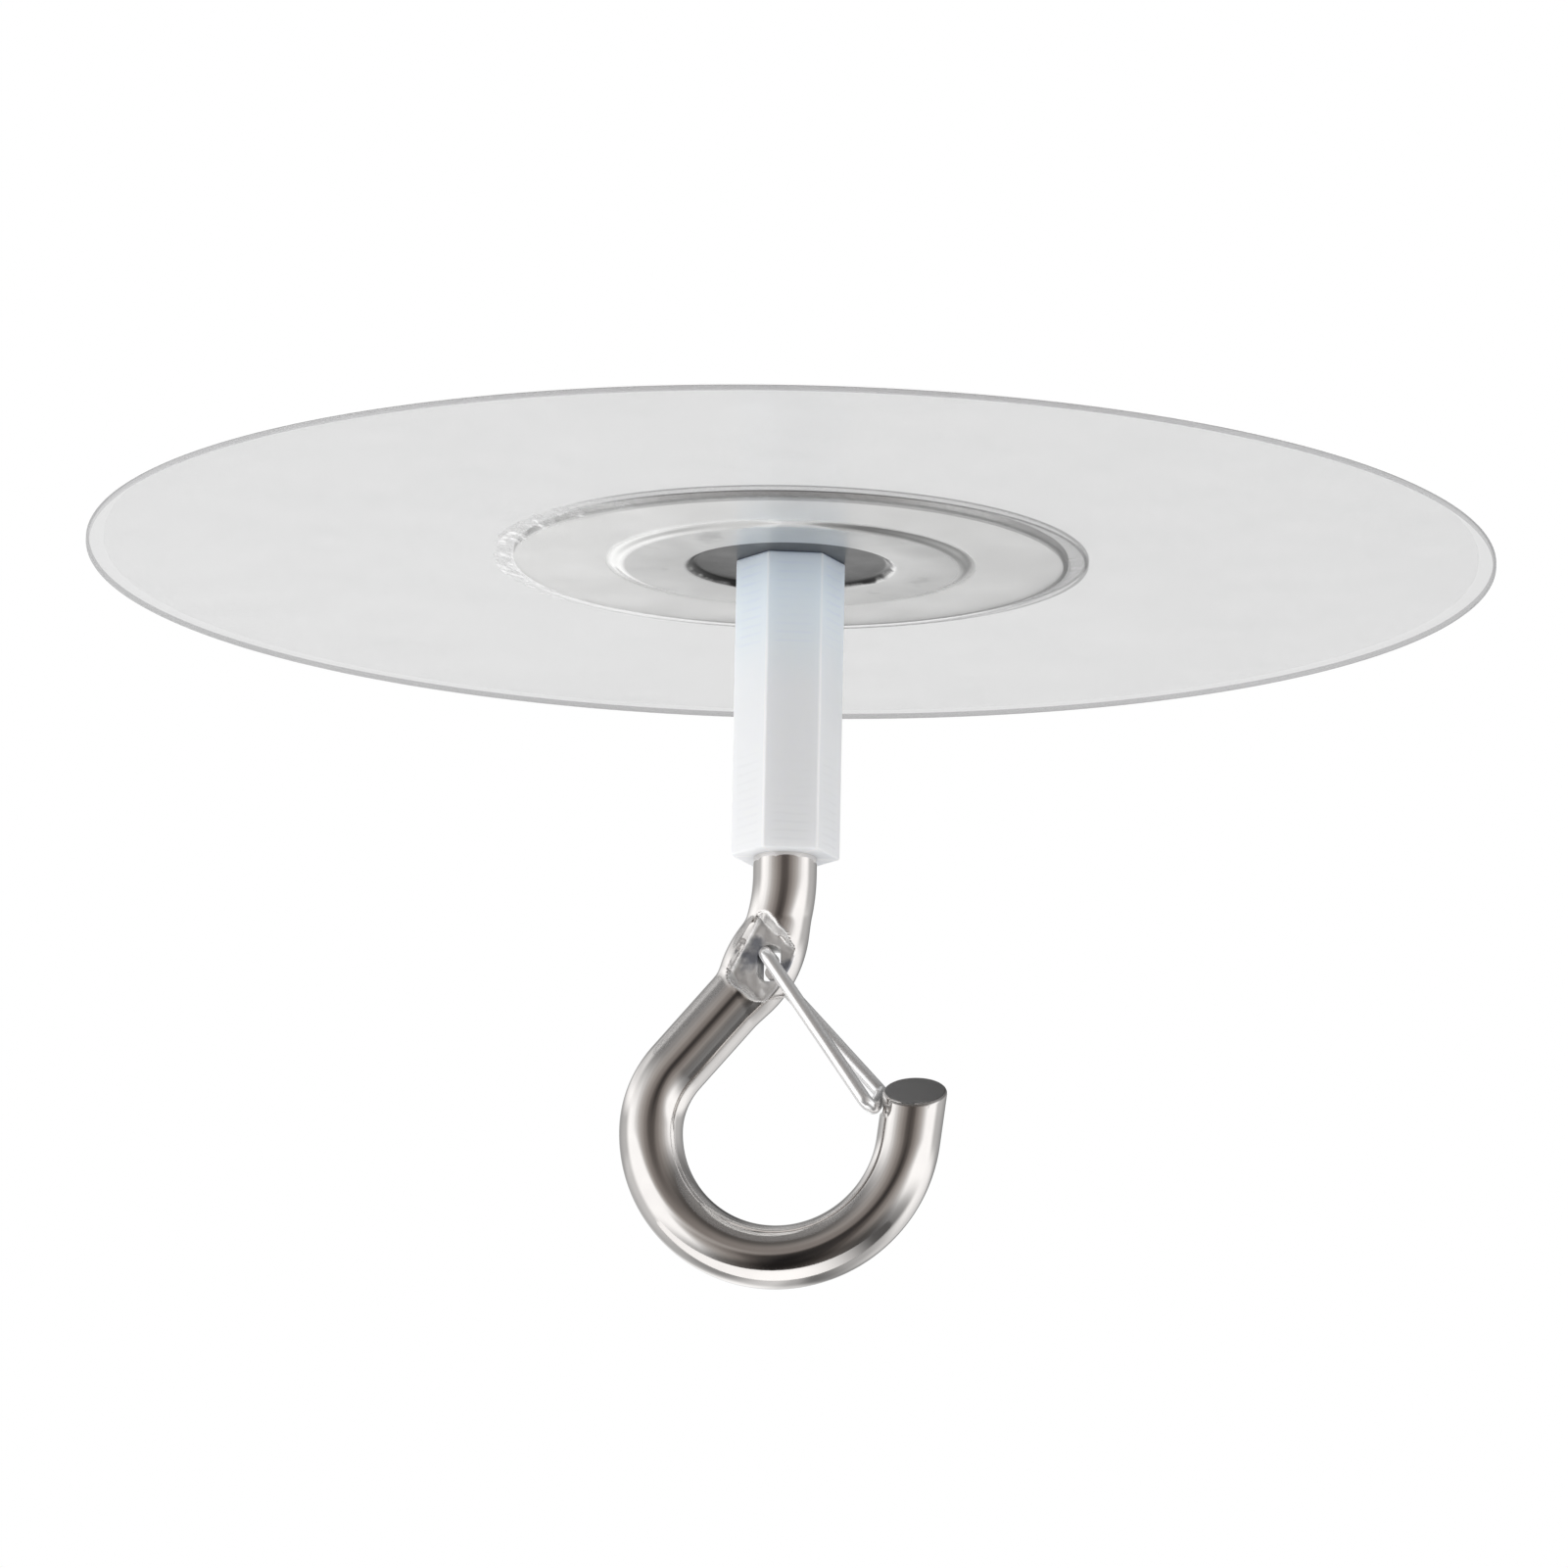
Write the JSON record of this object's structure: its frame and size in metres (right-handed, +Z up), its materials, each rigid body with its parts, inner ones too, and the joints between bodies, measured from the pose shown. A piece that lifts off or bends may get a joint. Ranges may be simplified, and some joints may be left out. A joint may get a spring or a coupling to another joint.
{
  "type": "ceiling hook",
  "caption": "Stick-on ceiling hook: a clear adhesive disc with a pressed steel plate, a hexagonal nylon sleeve and a bent steel hook whose mouth a sprung wire gate closes.",
  "frame": {"origin": "centre of the adhesive face that sticks to the ceiling", "axes": "+Z up into the ceiling, so the hook hangs towards -Z; the hook lies in the XZ plane with its tip and mouth towards +X"},
  "size_m": [0.08, 0.08, 0.0427],
  "materials": {
    "adhesive": "clear acrylic adhesive",
    "clear_film": "clear glossy film",
    "plate_steel": "pressed stainless, half polished",
    "stud_steel": "plain machined",
    "nylon": "milky translucent nylon",
    "hook_steel": "polished stainless",
    "wire_steel": "bright drawn spring wire"
  },
  "bodies": {
    "hanger": {"adhesive_layer": "adhesive", "clear_disc": "clear_film", "backing_plate": "plate_steel", "stud": "stud_steel", "hex_sleeve": "nylon", "hook": "hook_steel"},
    "gate": {"gate": "wire_steel"}
  },
  "joints": [
    {"name": "gate_pivot", "type": "hinge", "parent": "hanger", "child": "gate", "pos_m": [-0.00062, 0, -0.02419], "axis": [0, 1, 0], "range_deg": [0, 36], "stiffness_Nm_per_rad": 0.01, "springref_deg": -11.46}
  ]
}
